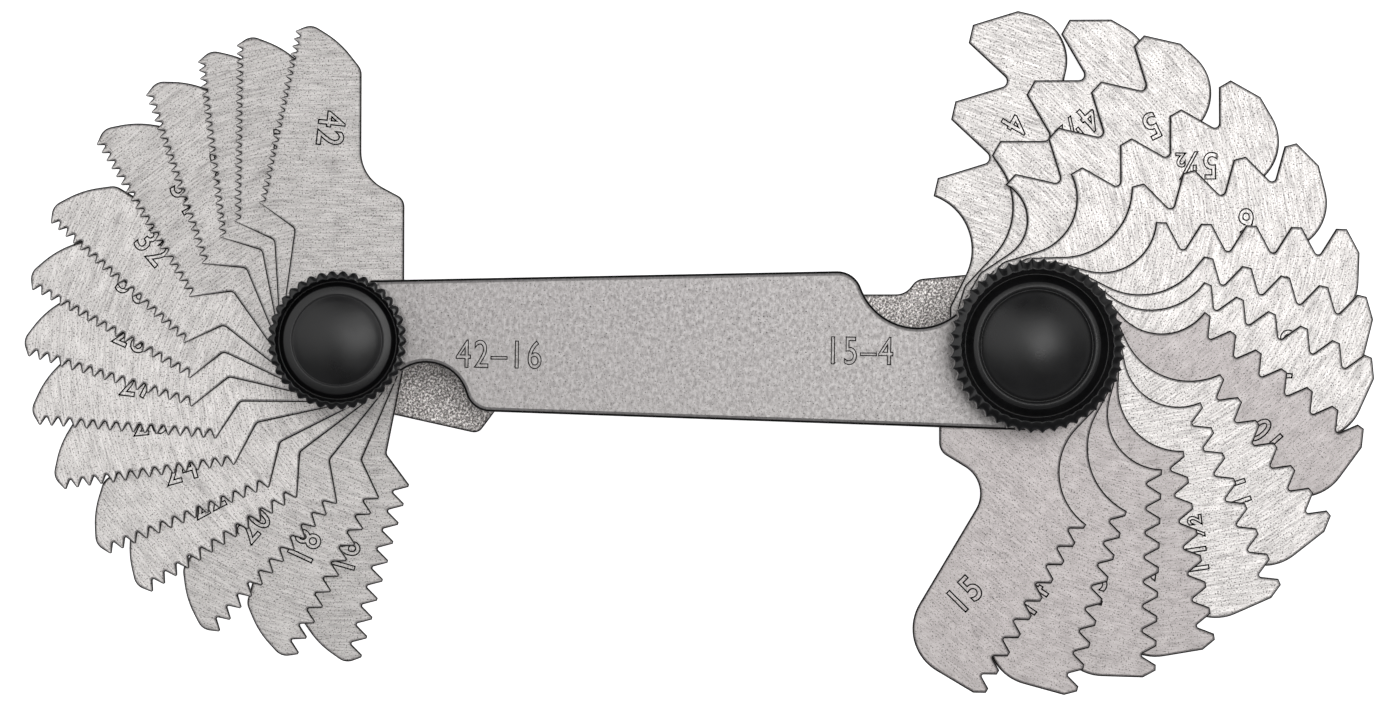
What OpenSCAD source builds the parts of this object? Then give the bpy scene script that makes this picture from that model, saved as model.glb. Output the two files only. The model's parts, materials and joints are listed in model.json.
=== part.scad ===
// Thread pitch gauge. Two fans of toothed steel leaves turn on a stud at each end of a tapered
// case of two plates, and a knurled thumb nut clamps each fan. Millimetres, +Z up, lying on the
// back plate. The origin is on that plate's outer face, midway between the studs, and +X runs
// from the fine leaves (left) to the coarse leaves (right).

/* [Case] */
// Distance between the two studs
stud_spacing = 55.1; // [54:0.1:80]
// Thickness of the front plate and of the back plate
plate_t = 1.0; // [0.8:0.1:1.6]
// Radius of the plates' round end at the fine leaves
left_end_r = 5.0; // [4:0.1:5.3]
// Radius of the plates' round end at the coarse leaves
right_end_r = 6.5; // [5:0.1:6.8]
// How far the plates' middle line lies below the studs
case_drop = 0.25; // [0:0.05:0.5]
// Radius of the thumb notch over the fine leaves
left_notch_r = 3.3; // [2.5:0.1:4]
// How far that notch's centre lies outside the plates' edge
left_notch_rise = -0.4; // [-1:0.1:1]
// Radius of the thumb notch over the coarse leaves
right_notch_r = 4.8; // [3:0.1:5.5]
// How far that notch's centre lies outside the plates' edge
right_notch_rise = 0.2; // [-1:0.1:1]
// Radius of the corner where a notch meets the long edge
notch_corner_r = 2.0; // [0.5:0.1:3]

/* [Studs and thumb nuts] */
// Radius of a stud's shank
stud_r = 2.0; // [1.5:0.05:2.4]
// Radius of a stud's countersunk head
head_r = 3.4; // [2.9:0.1:3.8]
// Depth of that head from its flat to the shank
head_h = 0.8; // [0.5:0.05:0.8]
// Width of the screwdriver slot in the head
slot_w = 0.8; // [0.5:0.1:1]
// Depth of the screwdriver slot
slot_depth = 0.45; // [0.2:0.05:0.6]
// How far a stud reaches into its nut
stud_reach = 2.6; // [1.5:0.1:2.8]
// Outer radius of the thumb nut at the fine leaves
left_nut_r = 5.47; // [5:0.01:7]
// Ridges round that nut
left_nut_ridges = 38; // [20:1:48]
// Outer radius of the thumb nut at the coarse leaves
right_nut_r = 6.92; // [6.2:0.01:9]
// Ridges round that nut
right_nut_ridges = 46; // [24:1:60]
// Depth of the ridges
ridge_depth = 0.26; // [0.1:0.01:0.4]
// Height of a thumb nut's cap
nut_h = 4.6; // [4.2:0.1:7]
// Outer radius of the brass insert
insert_r = 3.0; // [2.8:0.05:3.3]
// Height of the brass insert inside the cap
insert_h = 3.4; // [3.2:0.1:3.6]
// Thickness of the washer under a nut
washer_t = 0.8; // [0.6:0.1:1.2]
// How far a washer's rim lies inside the nut's rim
washer_inset = 1.3; // [0.8:0.1:2]
// Pitch of the nut's thread
thread_pitch = 0.7; // [0.5:0.05:0.8]

/* [Leaves] */
// Thickness of a leaf
leaf_t = 0.45; // [0.3:0.05:0.6]
// Threads per inch of the fine fan's leaves, front leaf first
left_tpi = [42, 40, 38, 36, 34, 32, 30, 28, 27, 26, 24, 22, 20, 18, 16]; // [16:1:60]
// Threads per inch of the coarse fan's leaves, front leaf first
right_tpi = [15, 14, 13, 12, 11.5, 11, 10, 9, 8, 7, 6, 5.5, 5, 4.5, 4]; // [4:0.5:16]
// Turn of each fine leaf from the front one, in degrees
left_fan = [0, 11.2, 19, 30.4, 43.2, 59.9, 72.6, 84.8, 97.5, 110.2, 124.6, 135, 149.4, 164.6,
            176.5]; // [0:0.1:200]
// Turn of each coarse leaf from the front one, in degrees
right_fan = [0, 15.4, 29, 40.2, 54.6, 68.9, 84.5, 96.5, 106.8, 118.7, 135.6, 151.2, 168, 181.1,
             197.9]; // [0:0.1:210]
// Radius of the fine leaves' hub, round the stud
left_hub_r = 4.95; // [4:0.05:5.3]
// Radius of the coarse leaves' hub
right_hub_r = 6.4; // [5:0.1:6.8]
// Distance from the stud to the shoulder that a thumb pushes, on the fine leaves
left_shoulder = 4.95; // [4.95:0.05:5.6]
// The same on the coarse leaves
right_shoulder = 7.5; // [6.8:0.1:8]
// Distance from the stud to the square end of the shortest fine leaf
left_reach = 24.1; // [20:0.1:25]
// How much further the coarsest of them reaches
left_reach_gain = 0.95; // [0:0.05:1.2]
// Distance from the stud to the square end of the coarse leaves
right_reach = 26.2; // [22:0.1:26.6]
// Distance from the stud to the line of the crests, on the finest leaf of the left fan
left_crests = 8.7; // [7.8:0.1:9]
// The same on the finest leaf of the right fan
right_crests = 10.95; // [10.6:0.05:12]
// How far the toothed blade shifts across, from the finest to the coarsest leaf of a fan
blade_shift = 0.75; // [0:0.05:1.2]
// Slant of the line of teeth from the shoulder edge, on the fine leaves
left_slant = 11.7; // [8:0.1:15]
// The same on the coarse leaves
right_slant = 30.9; // [26:0.1:34]
// Breadth across the coarse leaves' blade, from the crests to the back
right_breadth = 8.2; // [7:0.1:9]
// Distance from the fine leaves' back edge to the stud's middle line
left_back = 1.5; // [1:0.1:2]
// Corner radius where a coarse blade's back meets its end
tip_r = 3.9; // [2:0.1:4.2]
// Radius of the sloping end of the fine leaves
nose_r = 7.5; // [4:0.5:9]
// Radius at the top of that end, beside the first tooth
nose_round = 1.2; // [0.6:0.1:1.5]
// Width of the flat on a crest, as a share of the pitch, on the fine leaves
left_crest_flat = 0.14; // [0.1:0.01:0.25]
// The same on the coarse leaves
right_crest_flat = 0.24; // [0.1:0.01:0.28]
// Radius at the root of a tooth, as a share of the pitch
root_share = 0.075; // [0.03:0.005:0.09]

/* [Folded leaves] */
// Pitch in millimetres of the leaf that stays folded under the fine fan
left_folded_pitch = 1.0; // [0.5:0.25:2]
// Pitch in millimetres of the leaf that stays folded under the coarse fan
right_folded_pitch = 3.0; // [2:0.5:4]
// Angle by which the left one's shoulder opens away from its blade
left_folded_tilt = 12.4; // [8:0.1:14]
// The same on the right one, where the shoulder closes in
right_folded_tilt = -5.1; // [-8:0.1:0]
// Distance from the stud to the left one's shoulder
left_folded_shoulder = 5.0; // [4.95:0.05:5.6]
// The same on the right one
right_folded_shoulder = 6.2; // [6:0.1:6.8]
// Distance from the stud to the left one's square end
left_folded_reach = 25.0; // [20:0.1:26]
// Gap between the ends of the two folded leaves, which lie in one layer
folded_gap = 3.1; // [1:0.1:6]
// Breadth of the left one's blade on each side of its stud's middle line
left_folded_half = 3.7; // [3:0.1:4.2]
// The same on the right one
right_folded_half = 4.2; // [3:0.1:4.5]

/* [Fits] */
// Gap between neighbouring leaves, and between the end leaves and the plates
leaf_gap = 0.04; // [0.02:0.01:0.06]
// Radial clearance of a leaf, a plate or a washer round its stud or collar
stud_clear = 0.05; // [0.02:0.01:0.08]
// Gap under a washer that is screwed down, and between the washer and its nut
seat_gap = 0.02; // [0.01:0.01:0.05]
// Clearance between a cap and the insert that it is moulded round
mould_gap = 0.01; // [0.01:0.005:0.03]

/* [Hidden] */
$fn = 96;
inch = 25.4;
thread_angle = 60;
arc_error = 0.004;
beyond = 1;

// Side 0 is the fine fan at the left and side 1 the coarse fan at the right
stud_x = [-stud_spacing / 2, stud_spacing / 2];
end_r = [left_end_r, right_end_r];
notch_r = [left_notch_r, right_notch_r];
notch_rise = [left_notch_rise, right_notch_rise];
taper = asin((right_end_r - left_end_r) / stud_spacing);
edge_turn = [-taper, taper];

// Four kinds of leaf: 0 in the fine fan, 1 in the coarse fan, 2 and 3 folded under them. A leaf
// is drawn upright, its shoulder's edge along +Y, and then turned about its stud.
fan_leaves = len(left_tpi);
folded = fan_leaves;
layers = fan_leaves + 1;
turn = [concat(left_fan, -90 - left_folded_tilt), concat(right_fan, -90 - right_folded_tilt)];
leaf_facing = [0.2, 180.5];
pitches = [[for (n = left_tpi) inch / n, left_folded_pitch],
           [for (n = right_tpi) inch / n, right_folded_pitch]];
hub_r = [left_hub_r, right_hub_r, left_hub_r, right_hub_r];
tooth_dir = [90 - left_slant, 90 - right_slant, 90 + left_folded_tilt, 90 + right_folded_tilt];
back_dir = [90, 90 - right_slant, 90 + left_folded_tilt, 90 + right_folded_tilt];
crests = [left_crests, right_crests, left_folded_half, right_folded_half];
back_x = [left_back, right_crests - right_breadth, -left_folded_half, -right_folded_half];
shift = [blade_shift, blade_shift, 0, 0];
shift_power = [4, 0.5, 1, 1];
crest_flat = [left_crest_flat, right_crest_flat, left_crest_flat, right_crest_flat];
reach = [left_reach, right_reach, left_folded_reach,
         stud_spacing - folded_gap - left_folded_reach];
reach_gain = [left_reach_gain, 0, 0, 0];
shoulder_x = [left_shoulder, right_shoulder, left_folded_shoulder, right_folded_shoulder];
shoulder_y = [11.3, 8.4, 12.0, 8.5];
shoulder_foot = [0, 4, 2, 4];
shoulder_slope = [152, 148.6, 156, 138];
shoulder_r = [1.0, 1.2, 0.8, 1.2];
waist_r = [3.2, 3.0, 1.5, 3.0];
last_crest = [9.4, 9.4, 9.5, 10];
end_land = [0.7, 0.4, 0.4, 0.4];
end_land_share = 0.3;
nose_rise = 0.1;
nose_inset = 1.1;
nose_length = 2.7;
nose_slope = [20, 40];
neck = [[[-3.8, 8.9, 0.4]], [[0.4, 10.6, 5.6, 0.96], [-5.1, 4.95, 0.6]],
        [[-4.3, 7.4, 1]], [[-3.0, 8.4, 1]]];

leaf_pitch = leaf_t + leaf_gap;
stack_bottom = plate_t + leaf_gap;
stack_top = stack_bottom + layers * leaf_pitch;
case_top = stack_top + plate_t;
washer_z = case_top + seat_gap;
nut_z = washer_z + washer_t + seat_gap;

nut_r = [left_nut_r, right_nut_r];
nut_ridges = [left_nut_ridges, right_nut_ridges];
rim_w = [0.65, 0.97];
groove_w = [0.55, 0.95];
dome_edge_r = [0.65, 0.45];
groove_depth = 0.9;
dome_rise = 0.35;
rim_round = 0.4;
collar_r = stud_r + 0.45;
collar_flare = 0.25;
flange_w = 0.7;
flange_t = 0.6;
bore_roof = 0.5;

// Names of the leaves, such as leaf_11_half for 11 1/2 threads per inch
function leaf_name(n) = str("leaf_", floor(n), n == floor(n) ? "" : "_half");
leaf_names = [[for (n = left_tpi) leaf_name(n), "left_folded_leaf"],
              [for (n = right_tpi) leaf_name(n), "right_folded_leaf"]];

// A point at a distance and an angle from the origin
function polar(r, a) = r * [cos(a), sin(a)];
function unit(v) = v / norm(v);
function mix(a, b, share) = a + (b - a) * share;
function rest(list) = [for (i = [1:len(list) - 1]) list[i]];

// Where the line through p at angle a meets the line through q at angle b
function meet(p, a, q, b) =
    let (d = polar(1, a), e = polar(1, b), w = q - p)
    p + d * (w.x * e.y - w.y * e.x) / (d.x * e.y - d.y * e.x);

// Points of an arc round c, both ends included, fine enough to stay within arc_error
function arc(c, r, from, to) =
    let (steps = max(2, ceil(abs(to - from) / (2 * acos(1 - arc_error / r)))))
    [for (i = [0:steps]) c + polar(r, mix(from, to, i / steps))];

// The corner at c, between p and n, rounded with its own radius c[2]. The arc takes at most
// the share c[3] of each edge beside it, one half unless the point says otherwise.
function corner(p, c, n) =
    let (at = [c.x, c.y], u = unit([p.x, p.y] - at), v = unit([n.x, n.y] - at),
         half = acos(u * v) / 2, share = len(c) > 3 ? c[3] : 0.5,
         room = share * min(norm([p.x, p.y] - at), norm([n.x, n.y] - at)),
         d = min(c[2] / tan(half), room), r = d * tan(half),
         middle = at + unit(u + v) * r / sin(half),
         a = at + u * d - middle, turn = 180 - 2 * half,
         way = u.x * v.y - u.y * v.x > 0 ? -1 : 1, from = atan2(a.y, a.x))
    arc(middle, r, from, from + way * turn);

// A path of [x, y] and [x, y, radius] points with its corners rounded
function rounded(path) =
    [for (i = [0:len(path) - 1])
        each len(path[i]) < 3 || path[i][2] == 0 ? [[path[i].x, path[i].y]]
            : corner(path[(i + len(path) - 1) % len(path)], path[i], path[(i + 1) % len(path)])];

// ---- leaves ----

// Corners of the teeth on one leaf, from the tip to the hub. Each tooth has a flat crest and
// 60 degree flanks, and the groove after it ends in a small root radius.
function teeth(kind, pitch, crest_line, first) =
    let (t = polar(1, tooth_dir[kind]), n = polar(1, tooth_dir[kind] + 90),
         flat = crest_flat[kind] * pitch, gap = pitch - flat,
         count = floor((first - last_crest[kind]) / pitch) + 1,
         depth = gap / 2 / tan(thread_angle / 2))
    [for (i = [0:count - 1], step = [0:(i < count - 1 ? 2 : 1)])
        let (along = first - i * pitch - [0, flat, flat + gap / 2][step],
             p = t * along + n * (crest_line - (step == 2 ? depth : 0)))
        [p.x, p.y, step == 2 ? root_share * pitch : 0]];

// Outline of one leaf, upright over its stud with its teeth on the left. share runs from 0 on
// the finest leaf of a fan to 1 on the coarsest.
function leaf_outline(kind, pitch, share) =
    let (t = polar(1, tooth_dir[kind]), n = polar(1, tooth_dir[kind] + 90),
         moved = shift[kind] * pow(share, shift_power[kind]),
         crest_line = crests[kind] - moved,
         end = reach[kind] + reach_gain[kind] * share,
         land = max(end_land[kind], end_land_share * pitch),
         foot = [shoulder_x[kind], shoulder_foot[kind]],
         top = [shoulder_x[kind], shoulder_y[kind]],
         back = kind == 0 ? [back_x[kind] + moved, 0] : n * (back_x[kind] - moved),
         waist = meet(top, shoulder_slope[kind], back, back_dir[kind]),
         across = tooth_dir[kind] - 90,
         nose = t * (end + nose_rise) + n * (crest_line - nose_inset),
         bend = nose + polar(nose_length, across - nose_slope[0]),
         heel = meet(back, back_dir[kind], bend, across - nose_slope[1]),
         square = meet(back, back_dir[kind], t * end, across),
         end_corners = kind == 0
             ? [[heel.x, heel.y, nose_round], [bend.x, bend.y, nose_r],
                [nose.x, nose.y, nose_round]]
             : [[square.x, square.y, tip_r, 0.92],
                t * end + n * (crest_line - land * tan(thread_angle))],
         root = neck[kind][len(neck[kind]) - 1],
         from = atan2(root.y, root.x) + acos(hub_r[kind] / norm([root.x, root.y])),
         to = 360 + atan2(foot.y, foot.x) - acos(min(1, hub_r[kind] / norm(foot))))
    rounded(concat(arc([0, 0], hub_r[kind], from, to),
        norm(foot) > hub_r[kind] + arc_error ? [foot] : [],
        [[top.x, top.y, shoulder_r[kind]], [waist.x, waist.y, waist_r[kind]]],
        end_corners, teeth(kind, pitch, crest_line, end - land), neck[kind]));

// One leaf in its place in the open fan. The front leaf is the top one of its stack.
module leaf(side, index) {
    color(side == 0 ? "gainsboro" : "lightgray")
    translate([stud_x[side], 0, stack_bottom + (folded - index) * leaf_pitch])
        rotate(leaf_facing[side] + turn[side][index])
            difference() {
                linear_extrude(leaf_t)
                    polygon(leaf_outline(index == folded ? side + 2 : side, pitches[side][index],
                                         index / (fan_leaves - 1)));
                translate([0, 0, -beyond]) cylinder(h = leaf_t + 2 * beyond, r = stud_r + stud_clear);
            }
}

// ---- case ----

// Round end of the plates at one side with the thumb notch beside it, drawn round its stud with
// the notched edge level above it. The notch's arc runs smoothly out of the round end and turns
// over a rounded corner into the long edge.
function end_path(side) =
    let (e = end_r[side], r = notch_r[side], c = notch_corner_r, rise = notch_rise[side],
         middle = [sqrt(pow(e + r, 2) - pow(e + rise, 2)), e + rise],
         turned = [middle.x + sqrt(pow(r + c, 2) - pow(rise + c, 2)), e - c],
         from = atan2(middle.y, middle.x), to = atan2(turned.y - middle.y, turned.x - middle.x))
    concat(arc([0, 0], e, 270 + 2 * edge_turn[side], from),
           rest(arc(middle, r, from + 180, to + 360)),
           rest(arc(turned, c, to + 180, 90)));

// Outline of both plates: the fine end's notch is in the lower edge, the other in the upper one
module case_outline() {
    polygon([for (side = [0, 1], p = end_path(side))
        let (q = side == 0 ? [p.x, -p.y] : [-p.x, p.y], a = edge_turn[side])
        [stud_x[side] + q.x * cos(a) - q.y * sin(a), q.x * sin(a) + q.y * cos(a) - case_drop]]);
}

module back_plate() {
    color("silver")
    difference() {
        linear_extrude(plate_t) case_outline();
        for (x = stud_x) translate([x, 0, 0]) {
            translate([0, 0, -beyond]) cylinder(h = plate_t + 2 * beyond, r = stud_r + stud_clear);
            translate([0, 0, -beyond]) cylinder(h = beyond, r = head_r + stud_clear);
            cylinder(h = head_h, r1 = head_r + stud_clear, r2 = stud_r + stud_clear);
        }
    }
}

module front_plate() {
    color("silver")
    difference() {
        translate([0, 0, stack_top]) linear_extrude(plate_t) case_outline();
        for (x = stud_x) translate([x, 0, stack_top - beyond])
            cylinder(h = plate_t + 2 * beyond, r = stud_r + stud_clear);
    }
}

// ---- studs, washers and thumb nuts ----

// Countersunk stud, pushed in from the back, with a slot in its head and a chamfered end
module stud(side) {
    chamfer = 0.4;
    end = nut_z + stud_reach;
    color("darkgray")
    translate([stud_x[side], 0, 0]) difference() {
        rotate_extrude() polygon([[0, seat_gap], [head_r, seat_gap], [stud_r, head_h],
            [stud_r, end - chamfer], [stud_r - chamfer, end], [0, end]]);
        translate([-head_r - beyond, -slot_w / 2, -beyond])
            cube([2 * (head_r + beyond), slot_w, beyond + slot_depth]);
    }
}

// Washer that stays on the nut's collar: its bore opens downwards to take the collar's flare
module washer(side) {
    color("lightslategray")
    translate([stud_x[side], 0, washer_z])
        rotate_extrude() polygon([[collar_r + stud_clear + collar_flare, 0],
            [nut_r[side] - washer_inset, 0], [nut_r[side] - washer_inset, washer_t],
            [collar_r + stud_clear, washer_t], [collar_r + stud_clear, collar_flare]]);
}

// Half section of the insert inside the cap: a flange at the foot and a groove that the plastic
// fills, so that the insert can't pull out. grow widens it all round.
function insert_section(grow) =
    [[0, -grow], [insert_r + flange_w + grow, -grow], [insert_r + flange_w + grow, flange_t + grow],
     [insert_r + grow, flange_t + grow], [insert_r + grow, insert_h * 0.45 - grow],
     [insert_r - 0.3 + grow, insert_h * 0.45 + 0.3 - grow],
     [insert_r - 0.3 + grow, insert_h * 0.7 - 0.3 + grow],
     [insert_r + grow, insert_h * 0.7 + grow], [insert_r + grow, insert_h + grow],
     [0, insert_h + grow]];

// Brass insert with its blind thread hole, and a collar that flares inside the washer
module insert(side) {
    down = washer_t + seat_gap;
    color("goldenrod")
    translate([stud_x[side], 0, nut_z]) difference() {
        union() {
            rotate_extrude() polygon(insert_section(0));
            rotate_extrude() polygon([[0, 0], [collar_r, 0], [collar_r, collar_flare - down],
                [collar_r + collar_flare - seat_gap, seat_gap - down], [0, seat_gap - down]]);
        }
        translate([0, 0, -down - beyond])
            cylinder(h = down + beyond + insert_h - bore_roof, r = stud_r + stud_clear);
    }
}

// Ridged outline of a thumb nut. The left nut's ridges are round with sharp valleys, and the
// right nut's are sharp with round valleys.
function ridge_outline(side) =
    let (n = nut_ridges[side], points = 6)
    [for (i = [0:n * points - 1])
        let (phase = 180 * i / points,
             dip = side == 0 ? 1 - abs(cos(phase)) : abs(sin(phase)))
        polar(nut_r[side] - ridge_depth * dip, 360 * i / (n * points))];

// Half section of a cap: a rim, a ring groove inside it and a low dome in the middle
function cap_section(side) =
    let (r = nut_r[side], rim_in = r - rim_w[side], groove_in = rim_in - groove_w[side],
         floor_z = nut_h - groove_depth, dome_z = nut_h - dome_rise,
         dome_r = groove_in - dome_edge_r[side],
         sphere_r = (dome_r * dome_r + dome_rise * dome_rise) / (2 * dome_rise),
         edge = asin(dome_r / sphere_r))
    concat(rounded([[0, 0], [r - rim_round / 2, 0], [r, rim_round / 2], [r, nut_h, rim_round],
                    [rim_in, nut_h, 0.15], [rim_in - 0.15, floor_z, 0.1],
                    [groove_in, floor_z, 0.1], [groove_in, dome_z, dome_edge_r[side], 0.95],
                    [dome_r, dome_z + 0.01]]),
           [for (i = [1:12]) [sphere_r * sin(edge * (1 - i / 12)),
                             nut_h - sphere_r * (1 - cos(edge * (1 - i / 12)))]]);

module thumb_nut(side) {
    color([0.13, 0.13, 0.14])
    translate([stud_x[side], 0, nut_z]) difference() {
        intersection() {
            linear_extrude(nut_h) polygon(ridge_outline(side));
            rotate_extrude() polygon(cap_section(side));
        }
        rotate_extrude() polygon(insert_section(mould_gap));
    }
}

back_plate();
front_plate();
stud(0);  // left_stud
stud(1);  // right_stud
washer(0);  // left_washer
washer(1);  // right_washer
insert(0);  // left_insert
insert(1);  // right_insert
thumb_nut(0);  // left_thumb_nut
thumb_nut(1);  // right_thumb_nut
for (side = [0, 1], index = [0:folded])
    leaf(side, index);
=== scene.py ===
# %% [markdown]
# # A thread pitch gauge in steel and black plastic
# The real object is a flat steel case with a stud at each end. Fifteen toothed leaves fan out
# round each stud, one more stays folded inside, and a black thumb nut clamps them. The packed
# CAD model gives every place and every outline. This script gives the steel its rolled edges,
# its struck numbers and its ground finish, and the nuts their moulded rims. Shapes are worked
# out in millimetres, and mm turns them to Blender's metres where a mesh is made.

# %% Load the frame
import json
import math

import bpy
import numpy as np
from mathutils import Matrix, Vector
from mathutils.geometry import delaunay_2d_cdt


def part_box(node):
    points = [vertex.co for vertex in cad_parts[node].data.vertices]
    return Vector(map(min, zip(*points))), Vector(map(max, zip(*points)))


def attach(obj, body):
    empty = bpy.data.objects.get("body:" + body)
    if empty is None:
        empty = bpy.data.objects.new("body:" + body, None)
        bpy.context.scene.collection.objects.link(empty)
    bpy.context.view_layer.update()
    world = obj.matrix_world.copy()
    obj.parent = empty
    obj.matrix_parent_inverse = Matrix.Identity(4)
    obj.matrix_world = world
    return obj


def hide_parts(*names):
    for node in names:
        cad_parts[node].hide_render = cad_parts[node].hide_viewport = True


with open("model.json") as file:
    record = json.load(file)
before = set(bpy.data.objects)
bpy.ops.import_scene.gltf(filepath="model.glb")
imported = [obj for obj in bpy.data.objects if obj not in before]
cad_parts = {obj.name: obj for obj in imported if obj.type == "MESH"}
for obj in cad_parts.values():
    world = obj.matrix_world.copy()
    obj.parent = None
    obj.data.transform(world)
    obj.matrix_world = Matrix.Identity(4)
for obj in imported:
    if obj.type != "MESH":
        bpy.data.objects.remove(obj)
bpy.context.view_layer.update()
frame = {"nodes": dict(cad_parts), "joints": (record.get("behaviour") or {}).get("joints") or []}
mm = 0.001

# %% [markdown]
# ## Where each leaf points
# A leaf is stamped upright and then turned about its stud, so its number and its grinding marks
# are the same in its own upright frame. The joint limits tell how far each leaf is turned: all
# leaves of a fan stop at the same place, so a leaf that may turn less already stands further on.
# The front leaf of the left fan points up and that of the right fan points down, each a hair
# off. The angles in facing say so, in degrees.

# %% Find the turn of every leaf
sides = ("left", "right")
facing = {"left": 0.2, "right": 180.5}
hinges = {j["child"]: j for j in frame["joints"] if j["name"].endswith("_hinge")}
stud_x = {body: j["pos_m"][0] / mm for body, j in hinges.items()}
leaves = {side: [b for b in hinges if (stud_x[b] < 0) == (side == "left")] for side in sides}
turned = {body: math.radians(facing[side] + hinges[leaves[side][0]]["range_deg"][1]
                             - hinges[body]["range_deg"][1])
          for side in sides for body in leaves[side]}
front_leaf = leaves["left"][0]
print({side: len(leaves[side]) for side in sides},
      "last open leaf turned by", round(math.degrees(turned[leaves["left"][-2]]), 1), "degrees")

# %% [markdown]
# ## Corners of a CAD node
# A CAD node arrives as loose triangles, so a corner that six triangles share is there six times.
# Merge by Distance would join them on a copy of the mesh. Here they are only read, so numpy
# merges the equal ones and the node stays as it is.

# %% Merge a node's corners
def corners_of(name):
    """Merged corner points of a CAD node and its triangles as numbers of those points. Corners
    count as one point where they agree to a tenth of a micron."""
    mesh = frame["nodes"][name].data
    place, index = np.empty(len(mesh.vertices) * 3), np.empty(len(mesh.loops), int)
    mesh.vertices.foreach_get("co", place)
    mesh.loops.foreach_get("vertex_index", index)
    whole, merged = np.unique(np.round(place.reshape(-1, 3) / mm, 4), axis=0, return_inverse=True)
    return whole, merged.ravel()[index].reshape(-1, 3)


print(front_leaf, "has", len(corners_of(front_leaf)[0]), "corners")

# %% [markdown]
# ## Edges put in order
# The edges of an outline come in no order, and a shape needs its points one after the other.
# Walking along the edges would take a Python loop over all points. Pointer doubling takes a
# dozen steps on whole arrays instead: every point knows a point further along its loop, and
# each round doubles how far ahead that is.

# %% Chain edges into loops
def chained(edges):
    """Closed loops of point numbers out of directed edges. Each round doubles the length of the
    jump a point looks ahead, so the smallest number of a loop reaches all its points, and then
    the steps that remain to that smallest point give the order."""
    rounds = 12  # enough for loops of up to 4096 points
    points, local = np.unique(edges, return_inverse=True)
    start, end = local.reshape(-1, 2).T
    following = np.empty(len(points), int)
    following[start] = end
    first, jump = np.arange(len(points)), following.copy()
    for _ in range(rounds):
        first, jump = np.minimum(first, first[jump]), jump[jump]
    is_first = first == np.arange(len(points))
    steps, jump = np.where(is_first, 0, 1), np.where(is_first, np.arange(len(points)), following)
    for _ in range(rounds):
        steps, jump = steps + steps[jump], jump[jump]
    return [points[members[np.argsort(-steps[members])]]
            for members in (np.flatnonzero(first == f) for f in np.unique(first))]


print("edges 4-9, 7-4 and 9-7 make the loop", chained(np.array([[4, 9], [7, 4], [9, 7]]))[0].tolist())

# %% [markdown]
# ## The outline of a top face
# An edge inside the flat top face is used once in each direction by two triangles, and an edge
# of its outline is used in one direction only. So the outline of a leaf, with every tooth, and
# the bore round its stud can be picked out with arrays, and the dressed leaf keeps them both.

# %% Read the loops round a node's top face
def top_loops(name):
    """Outline and bores of a node's top face in mm, the outline first. The metal lies to the
    left of each loop, so an outline runs anticlockwise and a bore clockwise."""
    points, triangles = corners_of(name)
    highest, micron = points[:, 2].max(), 0.001
    top = triangles[(points[triangles][:, :, 2] > highest - micron).all(1)]
    edges = np.concatenate([top[:, [0, 1]], top[:, [1, 2]], top[:, [2, 0]]])
    count = len(points)
    single = ~np.isin(edges[:, 0] * count + edges[:, 1], edges[:, 1] * count + edges[:, 0])
    loops = [points[loop][:, :2] for loop in chained(edges[single])]
    return sorted(loops, key=lambda loop: -np.ptp(loop, axis=0).max())


print("its outline and its bore have", [len(loop) for loop in top_loops(front_leaf)], "points")

# %% [markdown]
# ## Sheet steel with a rolled edge
# A leaf is punched out of strip. The punch pulls the upper edge into a small round, the roll,
# and leaves a straight sheared wall below it. A Bevel modifier could round the edge, but on
# teeth this fine it collides with itself. So the rows of the roll are worked out here: each row
# is the outline moved into the metal and lowered along a quarter circle.

# %% Move an outline into the metal
def moved(loop, distance, least=0.4):
    """A closed loop moved into the metal on its left. Each corner goes along the sum of its two
    edges' normals, divided by one plus their dot product, so that the edges stay parallel. The
    divisor is held above least, so that a spike's tip does not run away."""
    ahead = np.roll(loop, -1, axis=0) - loop
    ahead = ahead / np.linalg.norm(ahead, axis=1, keepdims=True)
    left = np.stack([-ahead[:, 1], ahead[:, 0]], axis=1)
    before = np.roll(left, 1, axis=0)
    return loop + distance * (left + before) / np.maximum(1 + (left * before).sum(1), least)[:, None]


print("a 5 mm square moved in by 1:", moved(np.array([[0, 0], [5, 0], [5, 5], [0, 5.0]]), 1).tolist())

# %% [markdown]
# ## A roll that fits the teeth
# On the long edges the roll is about a fifth of a millimetre wide. The point of a tooth is
# narrower than two such rolls, and on the real leaf the roll simply gets smaller there. So each
# point of the outline takes the widest roll that stays clear of the rest of the outline.

# %% Find the width of the roll
leaf_roll = 0.24  # widest room for a leaf's roll in mm
nearly = 0.97  # a distance counts as kept from this share of it, to allow for rounding


def clearance(points, loops):
    """Distance from each point to the nearest edge of the loops. The nearest place on an edge
    from a to b is a + t (b - a), where t is the point's projection held between 0 and 1."""
    a = np.concatenate(loops)
    along = np.concatenate([np.roll(loop, -1, axis=0) for loop in loops]) - a
    t = ((points[:, None] - a) * along).sum(-1) / (along ** 2).sum(-1)
    return np.linalg.norm(points[:, None] - a - np.clip(t, 0, 1)[..., None] * along, axis=-1).min(1)


def roll_width(loop, widest):
    """The widest roll that fits at each point, as a column: the largest w for which the point
    moved in by w still lies w away from the whole loop, eased so that the width changes by at
    most 0.4 mm per mm."""
    narrowest = 0.03
    tries = np.linspace(narrowest, widest, 18)
    fits = np.array([clearance(moved(loop, w), [loop]) > nearly * w for w in tries])
    width = np.where(fits.all(0), widest, tries[np.maximum(np.argmin(fits, axis=0) - 1, 0)])
    apart = np.linalg.norm(loop[:, None] - loop, axis=-1)
    return (width + 0.4 * apart).min(1)[:, None]


widths = roll_width(top_loops(front_leaf)[0], leaf_roll)
print("room for a roll on the front leaf:", round(widths.min(), 3), "to", round(widths.max(), 3), "mm")

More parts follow.
